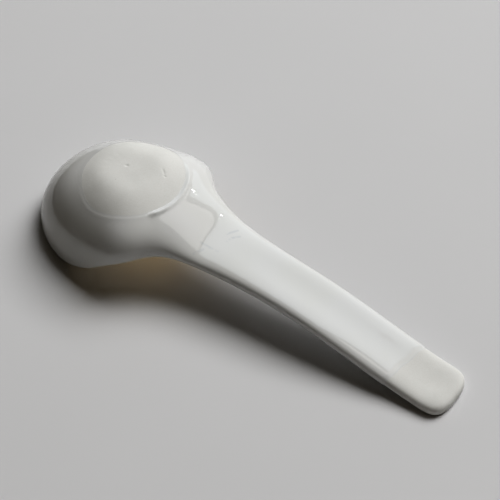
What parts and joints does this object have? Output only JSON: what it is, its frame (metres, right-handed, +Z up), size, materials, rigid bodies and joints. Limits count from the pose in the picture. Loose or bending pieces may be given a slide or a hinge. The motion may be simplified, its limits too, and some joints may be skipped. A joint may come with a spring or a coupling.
{
  "type": "porcelain soup spoon",
  "caption": "Porcelain soup spoon lying face down: deep oval bowl with a bare flat foot, straight grooved handle, glazed all over except the foot and the handle's end.",
  "frame": {"origin": "on the table, at the middle of the base of the part's box, with the spoon lying face down", "axes": "+X along the spoon from the bowl to the handle's tip, +Z up from the table, out of the foot"},
  "size_m": [0.1304, 0.044, 0.0232],
  "materials": {
    "biscuit": "unglazed fired porcelain, matte with a fine grain",
    "glaze": "clear glossy glaze over white porcelain"
  },
  "bodies": {
    "root": {"porcelain_body": "biscuit", "glaze_coat": "glaze"}
  },
  "joints": []
}
